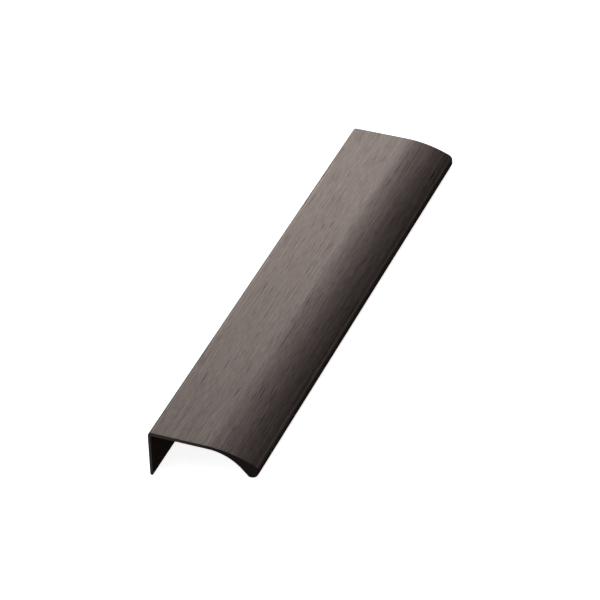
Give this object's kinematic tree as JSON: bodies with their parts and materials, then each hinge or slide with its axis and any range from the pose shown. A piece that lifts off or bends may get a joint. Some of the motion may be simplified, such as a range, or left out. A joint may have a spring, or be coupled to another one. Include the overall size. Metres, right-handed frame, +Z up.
{
  "type": "handleless finger pull profile",
  "caption": "Extruded aluminium finger pull: a thin plate with a screw flange at the back and a curved grip lip in front, brushed and anodised dark bronze.",
  "frame": {"origin": "middle of the bounding box at floor level, with the profile lying unheld on the foot of its flange and the nose of its lip", "axes": "+Y along the profile, +X from the flange to the lip, +Z up; the flat plate slopes down towards +X by 14.08 degrees"},
  "size_m": [0.043, 0.2, 0.0183],
  "materials": {
    "bronze_anodised": "brushed along the length, dark bronze anodised"
  },
  "bodies": {
    "root": {"pull_profile": "bronze_anodised"}
  },
  "joints": []
}
